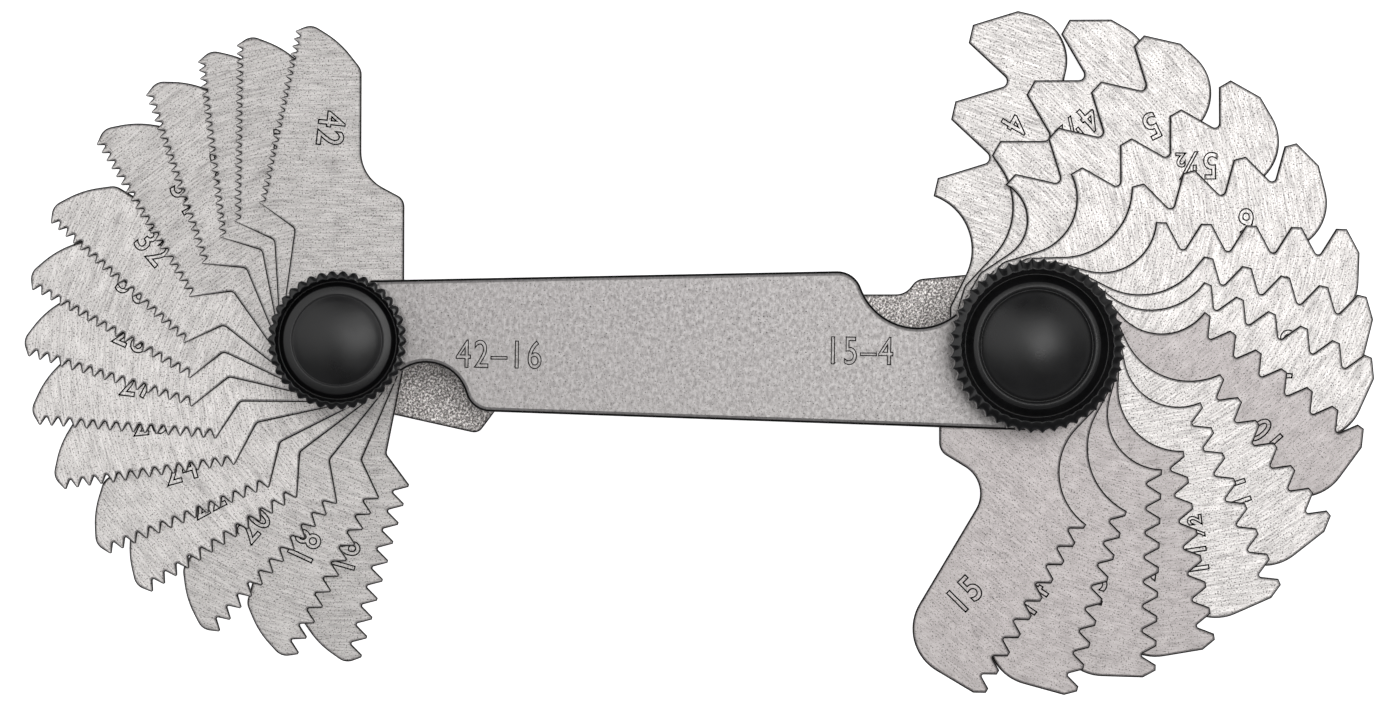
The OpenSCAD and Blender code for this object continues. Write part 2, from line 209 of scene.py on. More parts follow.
# %% [markdown]
# ## From the face down the wall
# A sheet's side is a surface of two parameters: the way round the outline, and the way from the
# face over the roll, down the wall and round the small burr at the bottom. A row of points for
# each step of the second one is enough, and quads join neighbouring rows.

# %% Rows of the edge and the strips between them
leaf_burr = 0.03  # in mm


def raised(loop, z):
    """A flat loop lifted to the height z, which is one number or a column of them."""
    return np.column_stack([loop, np.broadcast_to(z, (len(loop), 1))])


def edge_rows(loop, top, bottom, roll, burr):
    """Rows of points from the top face over the rolled edge, down the wall and round to the
    bottom face. The roll is a quarter circle: inset roll (1 - sin a), drop roll (1 - cos a). It
    takes nine tenths of the room there is."""
    roll, a = 0.9 * roll_width(loop, roll), np.linspace(0, math.pi / 2, 4)
    over = [raised(moved(loop, roll * (1 - math.sin(t))), top - roll * (1 - math.cos(t))) for t in a]
    under = [raised(loop, bottom + burr), raised(moved(loop, burr), bottom)]
    return np.array(over + under)


def strips(rows, first):
    """Quads between neighbouring rows of a closed loop, with their fronts to its right. first is
    the number of the first point."""
    count, size = rows.shape[:2]
    here = first + np.arange(count - 1)[:, None] * size + np.arange(size)
    beside = first + np.arange(count - 1)[:, None] * size + (np.arange(size) + 1) % size
    return np.stack([here, here + size, beside + size, beside], axis=-1).reshape(-1, 4)


print("two rows of 4 points give the quads", strips(np.zeros((2, 4, 3)), 0).tolist())

# %% [markdown]
# ## Flat faces with holes
# The top face of a leaf has a bore and some figures in it. One large polygon can't have holes,
# and a boolean would have to cut them one by one. A Delaunay net that keeps all the edges fills
# everything in one go, and the triangles in the holes are then left out.

# %% Fill the face between loops
def enclosed(places, loops):
    """Whether each place lies inside the loops: a ray from it towards +X then crosses their
    edges an odd number of times. An edge is crossed if its ends lie above and below the ray and
    its point at the ray's height lies further along."""
    x, y = places.T[:, :, None]
    ax, ay = np.concatenate(loops)[:, :2].T
    bx, by = np.concatenate([np.roll(loop, -1, axis=0) for loop in loops])[:, :2].T
    spans = (ay > y) != (by > y)
    crossing = ax + (y - ay) / np.where(ay == by, 1, by - ay) * (bx - ax)
    return (spans & (crossing > x)).sum(1) % 2 == 1


def filled(loops, firsts, up):
    """Triangles that fill the face between flat loops of points, turned to face up or down. A
    Delaunay net that keeps all the loops' edges covers everything, and a triangle belongs to the
    face if its middle lies inside the loops. firsts are the numbers of the loops' first points."""
    points = np.concatenate(loops)[:, :2]
    number = np.concatenate([f + np.arange(len(loop)) for f, loop in zip(firsts, loops)])
    starts = np.cumsum([0] + [len(loop) for loop in loops[:-1]])
    a = np.arange(len(points))
    b = np.concatenate([s + (np.arange(len(loop)) + 1) % len(loop) for s, loop in zip(starts, loops)])
    net = delaunay_2d_cdt([Vector(p) for p in points], np.stack([a, b], 1).tolist(), [], 0, 1e-7)
    if len(net[0]) != len(points):
        print("warning: loops touch or cross, points", len(points), "became", len(net[0]))
    made = np.array(net[2])
    made = made[enclosed(points[made].mean(1), loops)]
    return number[made if up else made[:, ::-1]]


face_loops = top_loops(front_leaf)
face_triangles = filled(face_loops, [0, len(face_loops[0])], True)
print("the front leaf's top face takes", len(face_triangles), "triangles")

# %% [markdown]
# ## From arrays to a mesh
# A shell is closed if every edge is used exactly once in each direction, and that is checked
# on every piece before it becomes a mesh. A sheet's walls are shaded round and its faces flat, so
# that the roll looks soft and the ground face stays true.

# %% Check a shell and make the mesh
crisp_angle = 35  # degrees between two faces, above which the edge between them stays crisp


def closed(faces):
    """True if every edge of the faces is used exactly once in each direction."""
    ends = np.concatenate([np.stack([f, np.roll(f, -1, axis=1)], -1).reshape(-1, 2) for f in faces])
    size = ends.max() + 1
    there, back = ends[:, 0] * size + ends[:, 1], ends[:, 1] * size + ends[:, 0]
    return bool(len(np.unique(there)) == len(there) and np.isin(there, back).all())


def new_piece(name, points, smooth_faces, flat_faces, second=()):
    """A mesh object out of points in mm and arrays of faces. Only the smooth faces are shaded
    round. second lists the places, in smooth_faces + flat_faces, of the groups that take the
    second material."""
    groups = smooth_faces + flat_faces
    mesh = bpy.data.meshes.new(name)
    faces = [list(face) for group in groups for face in group.tolist()]
    mesh.from_pydata((points * mm).tolist(), [], faces)
    round_count = sum(len(group) for group in smooth_faces)
    mesh.set_sharp_from_angle(angle=math.radians(crisp_angle))
    mesh.polygons.foreach_set("use_smooth", np.arange(len(faces)) < round_count)
    slots = [np.full(len(group), int(k in second)) for k, group in enumerate(groups)]
    mesh.polygons.foreach_set("material_index", np.concatenate(slots))
    mesh.update()
    made = bpy.data.objects.new(name, mesh)
    bpy.context.scene.collection.objects.link(made)
    return made


print("a lone triangle is closed:", closed([np.array([[0, 1, 2]])]))

# %% [markdown]
# ## Struck numbers
# Each open leaf carries its threads per inch and the case carries the range of each fan. The numbers
# are struck into the steel with a punch, so they are shallow grooves with sloping walls. A text
# object without a fill gives the outlines of the figures, and these loops become walls and a
# floor in the top face.

# %% Turn a word into loops
def font_loops(text):
    """Points of a word in Blender's own font, and its closed loops as numbers of those points."""
    font = bpy.data.curves.new("word", "FONT")
    font.body, font.fill_mode, font.resolution_u, font.space_character = text, "NONE", 6, 1.15
    word = bpy.data.objects.new("word", font)
    mesh = word.to_mesh()
    place, ends = np.empty(len(mesh.vertices) * 3), np.empty(len(mesh.edges) * 2, int)
    mesh.vertices.foreach_get("co", place)
    mesh.edges.foreach_get("vertices", ends)
    word.to_mesh_clear()
    bpy.data.objects.remove(word)
    return place.reshape(-1, 3)[:, :2], chained(ends.reshape(-1, 2))


def word_loops(text, height, centre, direction, narrow=0.86, wider=0.09, slope=0.11):
    """Pairs of loops in mm for a word centred on a point and running in a direction in radians:
    the rims of its grooves and their floors. The metal lies to the left of each loop, so a
    figure's outer contour runs clockwise and an island inside it the other way. The rim lies
    wider into the metal than the font's contour, because a punch strikes broader strokes than a
    pen, and the floor lies slope inside the rim. Points that end up too near the contour, as in
    tight corners, are left out."""
    capital, shortest = 0.7, 0.03  # height of a figure in a font of size 1, shortest edge in mm
    points, contours = font_loops(text)
    low, high = points.min(0), points.max(0)
    points = (points - (low + high) / 2) * [narrow, 1] * height / capital
    along = np.array([[math.cos(direction), math.sin(direction)],
                      [-math.sin(direction), math.cos(direction)]])
    points = points @ along + centre
    loops = [points[loop] for loop in contours]
    loops = [loop[np.linalg.norm(loop - np.roll(loop, 1, axis=0), axis=1) > shortest] for loop in loops]
    made = []
    for loop in loops:
        others = [other for other in loops if other is not loop]
        island = bool(others) and enclosed(loop[:1], others)[0]
        x, y = loop.T
        anticlockwise = (x * np.roll(y, -1) - y * np.roll(x, -1)).sum() > 0
        loop = loop if anticlockwise == island else loop[::-1]
        rim, deep = moved(loop, wider, 0.1), moved(loop, wider - slope, 0.1)
        kept = clearance(rim, loops) > nearly * wider
        kept &= clearance(deep, loops) > nearly * (slope - wider)
        made.append((rim[kept], deep[kept]))
    return made


print("the word 40 has", [len(rim) for rim, _ in word_loops("40", 2.1, (0, 0), 0)], "points")

# %% [markdown]
# ## One sheet with everything in it
# The outline, the bores and the figures are all loops in the same top face, so no boolean is
# needed. The shell is built once from them: walls first, then the two faces, then the floors of
# the figures. Only the figures' walls take the second material, which is painted darker, as
# painted shade in the grooves.

# %% Build a sheet
def sheet_metal(name, loops, top, bottom, roll, burr, words=(), sunk=0.08, flare=None):
    """A closed sheet of steel in mm. flare widens the bores towards the bottom face, as for
    countersunk heads: the radius at that face and the height over which it narrows."""
    walls = [edge_rows(loops[0], top, bottom, roll, burr)]
    for bore in loops[1:]:
        rows = edge_rows(bore, top, bottom, burr, burr)
        if flare:
            middle, radius = bore.mean(0), np.linalg.norm(bore - bore.mean(0), axis=1).mean()
            wide = (bore - middle) * flare[0] / radius + middle
            rows = np.concatenate([rows[:4], [raised(bore, bottom + flare[1]), raised(wide, bottom)]])
        walls.append(rows)
    through = len(walls)
    walls += [np.array([raised(rim, top), raised(deep, top - sunk)]) for rim, deep in words]
    firsts = np.cumsum([0] + [w.shape[0] * w.shape[1] for w in walls])
    lasts = [f + (w.shape[0] - 1) * w.shape[1] for f, w in zip(firsts, walls)]
    points = np.concatenate([w.reshape(-1, 3) for w in walls])
    quads = [strips(w, f) for w, f in zip(walls, firsts)]
    caps = [filled([w[0] for w in walls], firsts[:-1], True),
            filled([w[-1] for w in walls[:through]], lasts[:through], False)]
    if through < len(walls):
        caps.append(filled([w[-1] for w in walls[through:]], lasts[through:], True))
    if not closed(quads + caps):
        print("warning: the sheet", name, "has an open edge")
    return new_piece(name, points, quads, caps, range(through, len(walls)))


print("a sheet's wall has", len(edge_rows(face_loops[0], 1, 0, leaf_roll, leaf_burr)), "rows")

# %% [markdown]
# ## Marks that belong to a leaf
# Grinding marks turn with their leaf, so a pattern in the world's own directions would be wrong.
# A UV set in millimetres, laid out in the piece's own frame, carries all the patterns and also
# tells the shine which way the marks run. The fine leaves are ground across the blade and the
# coarse ones slantwise.

# %% Lay out a piece's own frame
grinding = {"left": 0, "right": -40}  # degrees from across the blade


def own_frame(piece, x, angle, shift):
    """A UV set in mm whose X runs along the marks: the place minus the stud at x, turned back by
    the angle of the marks in radians. shift moves the pattern, so that no two leaves show the
    same marks."""
    mesh = piece.data
    place, index = np.empty(len(mesh.vertices) * 3), np.empty(len(mesh.loops), int)
    mesh.vertices.foreach_get("co", place)
    mesh.loops.foreach_get("vertex_index", index)
    flat = place.reshape(-1, 3)[:, :2] / mm - [x, 0]
    back = np.array([[math.cos(angle), -math.sin(angle)], [math.sin(angle), math.cos(angle)]])
    mesh.uv_layers.new(name="own_frame").data.foreach_set(
        "uv", ((flat @ back + shift)[index]).astype(np.float32).ravel())


print("directions of the grinding marks in degrees:", grinding)

# %% [markdown]
# ## The leaves
# The number stands across the blade near its tip, with its head towards the back of the leaf,
# and it is struck by hand, so each one sits a little differently. A place is given in the leaf's
# upright frame in millimetres, with the direction of the word in degrees. own_place is for the
# leaves whose number has a place of its own, and the others are scattered round number_place.
# The grinding marks sway by up to 5 degrees from leaf to leaf.

# %% Make all leaves
figure_height = 2.1
number_place = {"left": ((-1.0, 16.9), -103), "right": ((5.4, 19.5), -138)}
own_place = {"leaf_42": ((-0.9, 16.9), -96), "leaf_32": ((-1.2, 16.9), -108),
             "leaf_4": ((4.5, 17.4), -138), "leaf_4_half": ((4.4, 17.6), -140),
             "leaf_5": ((6.0, 19.4), -142), "leaf_5_half": ((4.8, 19.2), -151),
             "leaf_15": ((5.4, 19.7), -135)}
scatter = np.random.default_rng(7)
leaf_pieces = {}
for side in sides:
    for number, body in enumerate(leaves[side]):
        loops = top_loops(body)
        low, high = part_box(body)
        x, angle = stud_x[body], turned[body]
        folded = body.endswith("folded_leaf")
        jitter, swing = scatter.uniform(-0.35, 0.35, 2), scatter.uniform(-5, 5)
        words = []
        if not folded:
            text = body.split("_")[1] + ("½" if body.endswith("_half") else "")
            (px, py), lean = own_place.get(body, (number_place[side][0] + jitter,
                                                  number_place[side][1] + swing))
            c, s = math.cos(angle), math.sin(angle)
            centre = (x + px * c - py * s, px * s + py * c)
            words = word_loops(text, figure_height, centre, angle + math.radians(lean))
        piece = sheet_metal(body + "_steel", loops, high.z / mm, low.z / mm, leaf_roll, leaf_burr,
                            words)
        grind = math.radians(grinding[side] + 5 * math.sin(9 * number))
        own_frame(piece, x, angle + grind, (60 * number, 90 * sides.index(side)))
        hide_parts(body)
        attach(piece, body)
        leaf_pieces[body] = piece
print("leaves:", len(leaf_pieces), "triangles in the front one:",
      sum(len(p.vertices) - 2 for p in leaf_pieces[front_leaf].data.polygons))

# %% [markdown]
# ## The case
# Both plates are blanked from thicker sheet and tumbled, so their edges are rounder than the
# leaves'. The back plate's bores are countersunk for the studs. The range of each fan is struck
# into the front plate beside its nut, and the middle stays plain.

# %% Make the plates
plate_roll, plate_burr, struck_depth = 0.4, 0.12, 0.14
countersink = (3.45, 0.8)  # radius at the bottom face and depth in mm
ranges = {"42–16": (-15.0, -1.0), "15–4": (13.9, -0.5)}
range_style = dict(height=2.2, direction=math.radians(-0.4), narrow=0.78, wider=0.045, slope=0.085)
plate_pieces = {}
for name in ("front_plate", "back_plate"):
    low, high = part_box(name)
    words = []
    if name == "front_plate":
        words = sum([word_loops(text, centre=centre, **range_style) for text, centre in ranges.items()], [])
    flare = countersink if name == "back_plate" else None
    piece = sheet_metal(name + "_steel", top_loops(name), high.z / mm, low.z / mm, plate_roll, plate_burr,
                        words, struck_depth, flare)
    own_frame(piece, 0, 0, (40 * len(plate_pieces), -90))
    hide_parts(name)
    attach(piece, "case")
    plate_pieces[name] = piece
print("plates:", {n: len(p.data.polygons) for n, p in plate_pieces.items()})

# %% [markdown]
# ## A section with round corners
# Each nut is a black cap moulded round a brass insert. Moulded edges are never sharp, because
# the melt doesn't fill a sharp corner. So the section is a path of corners, each with its own
# small arc, and no bevel is needed afterwards.

# %% Round the corners of a path
def rounded(path, steps=5):
    """A path of (r, z, radius) corners with an arc in each. The arc swings from one tangent
    point to the other round its centre, as a great circle blend of the two spokes."""
    path = np.array(path, float)
    at, radius = path[1:-1, :2], path[1:-1, 2:]
    u, v = path[:-2, :2] - at, path[2:, :2] - at
    u, v = (w / np.linalg.norm(w, axis=1, keepdims=True) for w in (u, v))
    half = np.arccos(np.clip((u * v).sum(1, keepdims=True), -1, 1)) / 2
    middle = at + (u + v) / np.linalg.norm(u + v, axis=1, keepdims=True) * radius / np.sin(half)
    first, last = (at + w * radius / np.tan(half) - middle for w in (u, v))
    sweep, t = (math.pi - 2 * half)[:, None], np.linspace(0, 1, steps)[None, :, None]
    arcs = middle[:, None] + (np.sin((1 - t) * sweep) * first[:, None]
                              + np.sin(t * sweep) * last[:, None]) / np.sin(sweep)
    return np.concatenate([path[:1, :2], arcs.reshape(-1, 2), path[-1:, :2]])


print("a right angle with a 1 mm corner:", np.round(rounded([(0, 0, 0), (2, 0, 1), (2, 2, 0)]), 2).tolist())

# %% [markdown]
# ## The section of a cap
# From the outside in, the top of a cap is a rim that slopes a little, a ring groove, a step and a
# low dome. Inside is the pocket for the brass insert and its flange. The path runs from the
# middle of the pocket's roof out under the foot, up the outside and over the top to the middle
# of the dome.

# %% Section of a cap
def cap_section(height, radius, rim, groove, edge, arch):
    """Points (r, z) of half a cap's section. rim, groove and edge are the widths of the rim, the
    ring groove and the step, and arch is the dome's rise over its radius."""
    insert_r, insert_top, flange_r, flange_top = 3.01, 3.41, 3.71, 0.61
    floor, lip = height - 1.1, height - 0.4
    rim_in = radius - rim
    groove_in = rim_in - groove
    dome_r = groove_in - edge
    rise = arch * dome_r
    corners = [(0, insert_top, 0), (insert_r, insert_top, 0.05), (insert_r, flange_top, 0.05),
               (flange_r, flange_top, 0.05), (flange_r, 0, 0.02), (radius, 0, 0.2),
               (radius, height - 0.2 * rim, 0.12 * rim), (rim_in + 0.1, height, 0.08),
               (rim_in - 0.3 * groove, floor, 0.06), (groove_in, lip - 0.1, 0.15),
               (dome_r, lip, 0.15), (dome_r - 0.1, height - rise, 0.06)]
    ball = (dome_r ** 2 + rise ** 2) / (2 * rise)
    reach = np.sin(np.linspace(math.asin((dome_r - 0.35) / ball), 0, 12)) * ball
    dome = np.column_stack([reach, height - ball + np.sqrt(ball ** 2 - reach ** 2)])
    return np.concatenate([rounded(corners + [(*dome[0], 0)]), dome[1:]])


cap_forms = {"left": dict(ridges=38, sharp=False, rim=0.65, groove=0.55, edge=0.65, arch=0.14),
             "right": dict(ridges=46, sharp=True, rim=0.97, groove=0.95, edge=0.45, arch=0.2)}
print("ridges:", {side: form["ridges"] for side, form in cap_forms.items()})

# %% [markdown]
# ## The thumb nuts
# Ridges run up the outside of a cap for grip, round ones on the left and sharp ones on the
# right. The cap is a surface of two parameters: the angle round the stud, and the way along the
# section. The ridges only pull the outer points of each section in, so they run out over the
# rim by themselves. Each point also keeps how far out on the rim it lies, because fingers polish
# the cap there.

# %% Make the caps
def cap(name, x, foot, height, radius, ridges, sharp, rim, **widths):
    """A ridged cap. At the angle a the ridges cut into the radius by depth times a dip, which is
    1 - |cos| between round ridges and |sin| between sharp ones. The dip fades over the rim, and
    the attribute held goes from 0 at the inside of the rim to 1 at its outside."""
    depth, per_ridge = 0.32, 10
    section = cap_section(height, radius, rim, **widths)
    a = np.arange(ridges * per_ridge) / (ridges * per_ridge)
    wave = math.pi * ridges * a
    dip = np.abs(np.sin(wave)) if sharp else 1 - np.abs(np.cos(wave))
    outer = np.clip((section[:, 0] - (radius - rim)) / rim, 0, 1)
    r = section[:, :1] - depth * dip * outer[:, None] ** 0.6
    grid = np.stack([x + r * np.cos(2 * math.pi * a), r * np.sin(2 * math.pi * a),
                     np.broadcast_to(foot + section[:, 1:], r.shape)], axis=-1)
    rows = grid[1:-1]
    count, size = rows.shape[:2]
    points = np.concatenate([rows.reshape(-1, 3), grid[0, :1], grid[-1, :1]])
    quads = strips(rows, 0)[:, ::-1]
    ring, poles = np.arange(size), count * size
    start = np.stack([(ring + 1) % size, ring, np.full(size, poles)], axis=1)
    last = (count - 1) * size + start[:, 1::-1]
    end = np.column_stack([last, np.full(size, poles + 1)])
    print(name, "closed:", closed([quads, start, end]), "triangles:", 2 * len(quads) + 2 * size)
    piece = new_piece(name, points, [quads, start, end], [])
    held = piece.data.attributes.new("held", "FLOAT", "POINT")
    held.data.foreach_set("value", np.append(np.repeat(outer[1:-1], size), [0, 0]))
    return piece


cap_pieces = {}
for side, form in cap_forms.items():
    nut = side + "_thumb_nut"
    low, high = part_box(nut)
    piece = cap(side + "_cap", (low.x + high.x) / 2 / mm, low.z / mm, (high.z - low.z) / mm,
                (high.x - low.x) / 2 / mm, **form)
    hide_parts(nut)
    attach(piece, side + "_nut")
    cap_pieces[side] = piece

# %% [markdown]
# ## Colours and nodes
# Colours are written as sRGB hex values, as a paint chart gives them, and one function turns
# them to the linear numbers that shaders work with. One other function adds a node, sets it and
# links it, so that each material reads from top to bottom as a recipe. Inputs go by their names.
# Where a node has several of one name, they go by their numbers: a Math node's values are 0 and
# 1, and a Mix node's factor is 0, its two colours are 6 and 7 and its resulting colour is 2.

# %% Colour and node helpers
def linear(hex_value):
    """sRGB hex to linear RGBA: each channel is divided by 12.92 near black, and above that it is
    ((c + 0.055) / 1.055) to the power 2.4."""
    c = np.array([int(hex_value[i:i + 2], 16) for i in (0, 2, 4)]) / 255
    return (*np.where(c <= 0.04045, c / 12.92, ((c + 0.055) / 1.055) ** 2.4).tolist(), 1.0)


def node(tree, kind, inputs, out=0, stops=(), **settings):
    """Adds a shader node and hands back its output. An input is either a value or the output
    that feeds it, and stops are the (place, hex) stops of a colour ramp, in order."""
    made = tree.nodes.new("ShaderNode" + kind)
    for key, value in settings.items():
        setattr(made, key, value)
    for key, value in inputs.items():
        if isinstance(value, bpy.types.NodeSocket):
            tree.links.new(value, made.inputs[key])
        else:
            made.inputs[key].default_value = value
    for _ in stops[2:]:
        made.color_ramp.elements.new(0.5)
    for k, (place, colour) in enumerate(stops):
        made.color_ramp.elements[k].position = place
        made.color_ramp.elements[k].color = linear(colour)
    return made.outputs[out] if made.outputs else None


def new_material(name):
    """An empty material and its node tree."""
    made = bpy.data.materials.new(name)
    made.use_nodes = True
    made.node_tree.nodes.clear()
    return made, made.node_tree


print("mid grey 808080 is", round(linear("808080")[0], 3), "in linear light")

# %% [markdown]
# ## Steel
# Spring steel strip is surface ground, and the wheel leaves parallel scratches about 0.05 mm
# apart. At this distance such lines would melt into an even grey, so they are drawn 0.13 mm
# apart. What they do to the light stays: the shine is anisotropic and spreads across them, so a
# leaf brightens or darkens as it turns. The strip also shows small dark pits, and patches of 1
# to 2 mm where it was worn by handling. The roll on a punched edge is painted nearly black, as
# painted shade and a painted dark reflection, and this draws each leaf's outline. The sheared
# wall below it is plain steel again.

# %% Steel recipe
# The first colour paints the rolled edges nearly black, as painted shade and a painted dark reflection.
painted_roll_shade, pit_shade = "060606", "55514f"


def steel(name, shades, marks, contrast, patch, pits, roughness, spread=0.0):
    """A steel with a dark, a middle and a light shade. marks are the grinding or tumbling marks
    per mm along X and Y of the piece's own frame, and contrast is how much they show. patch is
    the size of the worn patches in mm, pits are the size of the pits in mm and the height of the
    noise at which they start, and spread is how far the shine spreads across the marks."""
    dark, middle, light = shades
    pit_size, pit_start = pits
    material, tree = new_material(name)
    place = node(tree, "UVMap", {}, uv_map="own_frame")

    # Marks, patches and pits, each as a noise of its own size
    marked = node(tree, "Mapping", {"Vector": place, "Rotation": (0, 0, 0.03), "Scale": (*marks, 1)})
    lines = node(tree, "TexNoise", {"Vector": marked, "Scale": 1.0, "Detail": 2.0, "Roughness": 0.7,
                                    "Distortion": 0.3})
    patches = node(tree, "TexNoise", {"Vector": place, "Scale": 1 / patch, "Detail": 5.0, "Roughness": 0.78,
                                      "Distortion": 0.4})
    speckle = node(tree, "TexNoise", {"Vector": place, "Scale": 1 / pit_size, "Detail": 2.0,
                                      "Roughness": 0.5})
    pitted = node(tree, "MapRange", {"Value": speckle, "From Min": pit_start, "From Max": pit_start + 0.05})

    # Colour of the ground face
    scratched = node(tree, "MapRange", {"Value": lines, "From Min": 0.62, "From Max": 0.36,
                                        "To Min": contrast / 3, "To Max": -contrast})
    worn = node(tree, "MapRange", {"Value": patches, "From Min": 0.3, "From Max": 0.7, "To Min": 0.44,
                                   "To Max": 0.7})
    shade = node(tree, "Math", {0: scratched, 1: worn}, operation="ADD")
    face = node(tree, "ValToRGB", {"Fac": shade}, stops=((0.0, dark), (0.5, middle), (1.0, light)))
    pit_share = node(tree, "MapRange", {"Value": pitted, "To Max": 0.8})
    face = node(tree, "Mix", {0: pit_share, 6: face, 7: linear(pit_shade)}, 2, data_type="RGBA")

    # Colour of the roll, where the surface tilts, painted nearly black as painted shade, and of the wall,
    # where it stands upright
    normal = node(tree, "NewGeometry", {}, "Normal")
    upwards = node(tree, "SeparateXYZ", {"Vector": normal}, "Z")
    upwards = node(tree, "Math", {0: upwards}, operation="ABSOLUTE")
    tilted = node(tree, "MapRange", {"Value": upwards, "From Min": 0.93, "From Max": 0.8})
    upright = node(tree, "MapRange", {"Value": upwards, "From Min": 0.35, "From Max": 0.1})
    colour = node(tree, "Mix", {0: tilted, 6: face, 7: linear(painted_roll_shade)}, 2, data_type="RGBA")
    colour = node(tree, "Mix", {0: upright, 6: colour, 7: linear(middle)}, 2, data_type="RGBA")

    # Roughness: worn places are smoother, pits and rolls rougher
    rough = node(tree, "MapRange", {"Value": shade, "To Min": roughness + 0.06, "To Max": roughness - 0.06})
    rough_pit = node(tree, "MapRange", {"Value": pitted, "To Max": 0.2})
    rough_roll = node(tree, "MapRange", {"Value": tilted, "To Max": 0.15})
    rough = node(tree, "Math", {0: rough, 1: rough_pit}, operation="ADD")
    rough = node(tree, "Math", {0: rough, 1: rough_roll}, operation="ADD")

    # Relief: the marks are about a micron deep. The quarter turn spreads the shine across them
    groove = node(tree, "MapRange", {"Value": lines, "From Min": 0.3, "From Max": 0.7})
    hollow = node(tree, "MapRange", {"Value": pitted, "To Max": -0.8})
    relief = node(tree, "Math", {0: groove, 1: hollow}, operation="ADD")
    bump = node(tree, "Bump", {"Strength": 1.0, "Distance": 0.0012 * mm, "Height": relief})
    tangent = node(tree, "Tangent", {}, direction_type="UV_MAP", uv_map="own_frame")
    shader = node(tree, "BsdfPrincipled", {"Base Color": colour, "Metallic": 1.0, "Roughness": rough,
                                           "Anisotropic": spread, "Anisotropic Rotation": 0.25,
                                           "Tangent": tangent, "Normal": bump})
    node(tree, "OutputMaterial", {"Surface": shader})
    return material


print("the roll's shade", painted_roll_shade, "is", round(linear(painted_roll_shade)[0], 4), "in linear light")

# %% [markdown]
# ## Five steels
# The open leaves are ground, and five of the coarse ones take a darker copy of that steel, which
# is painted shade. The folded leaves are blasted, which leaves a coarse, even speckle. The plates
# are tumbled with small stones, which leaves short marks. The walls of the struck figures are
# painted dark, as painted shade in their grooves.

# %% Steels of the leaves and the plates
# These five leaves take a darker copy of the ground steel, as painted shade.
leaves_painted_darker = ("leaf_15", "leaf_14", "leaf_13", "leaf_12", "leaf_10")
ground = steel("ground_spring_steel", ("8a8786", "bebbb9", "dad7d5"), marks=(0.4, 7.5), contrast=0.3,
               patch=1.6, pits=(0.12, 0.58), roughness=0.38, spread=0.6)
ground_painted_darker = steel("ground_spring_steel_painted_shade", ("736f6e", "a39e9d", "bcb7b6"), marks=(0.6, 7.5),
             contrast=0.17, patch=1.3, pits=(0.12, 0.6), roughness=0.4, spread=0.6)
tumbled = steel("tumbled_stainless_plate", ("868382", "9b9897", "adabaa"), marks=(4.0, 2.5), contrast=0.36,
                patch=0.45, pits=(0.13, 0.63), roughness=0.4)
blasted = steel("blasted_spring_steel", ("75716f", "bdb9b7", "f4f0ed"), marks=(6.0, 6.0), contrast=0.9,
                patch=1.1, pits=(0.15, 0.58), roughness=0.45)
# The walls of the struck figures are painted dark, as painted shade in the grooves.
struck = steel("struck_figure_walls_painted_shade", ("1c1b1a", "2e2c2b", "403e3d"), marks=(3.0, 3.0), contrast=0.4,
               patch=0.5, pits=(0.12, 0.6), roughness=0.5)
for body, piece in leaf_pieces.items():
    open_steel = ground_painted_darker if body in leaves_painted_darker else ground
    piece.data.materials.append(blasted if body.endswith("folded_leaf") else open_steel)
    piece.data.materials.append(struck)
for piece in plate_pieces.values():
    piece.data.materials.append(tumbled)
    piece.data.materials.append(struck)
print("steels:", [material.name for material in (ground, ground_painted_darker, tumbled, blasted, struck)])

# %% [markdown]
# ## Turned and plated small parts
# The studs are turned from mild steel, the washers are stamped and zinc plated, and the inserts
# are brass. Little of them shows, but a turned face has rings, and all three have a slightly
# uneven shine. Their CAD solids have the right shape and only need the finish.

# %% Small metal parts
def small_metal(name, hex_value, roughness, centre_x):
    """A turned metal: rings 0.3 mm apart round the stud at centre_x in mm, over an uneven shine.
    A lathe's feed is about half of that, too fine to show. A wave of scale 1 has 20 / (2 pi)
    rings to the unit."""
    material, tree = new_material(name)
    place = node(tree, "TexCoord", {}, "Object")
    centred = node(tree, "Mapping", {"Vector": place, "Location": (-centre_x, 0, 0), "Scale": (1 / mm,) * 3})
    rings = node(tree, "TexWave", {"Vector": centred, "Scale": 1.05, "Distortion": 0.6, "Detail": 2.0}, 1,
                 wave_type="RINGS", rings_direction="Z")
    uneven = node(tree, "TexNoise", {"Vector": centred, "Scale": 1.3, "Detail": 3.0})
    dimmed = node(tree, "MapRange", {"Value": uneven, "From Min": 0.3, "From Max": 0.7, "To Max": 0.5})
    colour = node(tree, "Mix", {0: dimmed, 6: linear(hex_value), 7: linear("6a6765")}, 2, data_type="RGBA")
    rough = node(tree, "MapRange", {"Value": uneven, "From Min": 0.3, "From Max": 0.7, "To Min": roughness,
                                    "To Max": roughness + 0.15})
    bump = node(tree, "Bump", {"Strength": 0.4, "Distance": 0.005 * mm, "Height": rings})
    shader = node(tree, "BsdfPrincipled", {"Base Color": colour, "Metallic": 1.0, "Roughness": rough,
                                           "Normal": bump})
    node(tree, "OutputMaterial", {"Surface": shader})
    return material


small_parts = {"stud": ("turned_mild_steel", "b4b2b0", 0.3),
               "washer": ("zinc_plated_washer", "a9abae", 0.35),
               "insert": ("turned_brass", "c9a862", 0.3)}
for side in sides:
    for part, (finish, colour, roughness) in small_parts.items():
        owner = frame["nodes"][side + "_" + part]
        owner.data.materials.clear()
        owner.data.materials.append(small_metal(side + "_" + finish, colour, roughness,
                                                stud_x[leaves[side][0]]))
print("small parts:", ", ".join(small_parts))

# %% [markdown]
# ## Black moulding
# The caps are moulded in black ABS with a fine eroded texture, which gives a soft, even sheen.
# Fingers polish the rim and its ridges, which are smoother than the dome, and dust greys the
# valleys. The eroded grain is about 0.03 mm in reality and is drawn at 0.08 mm.

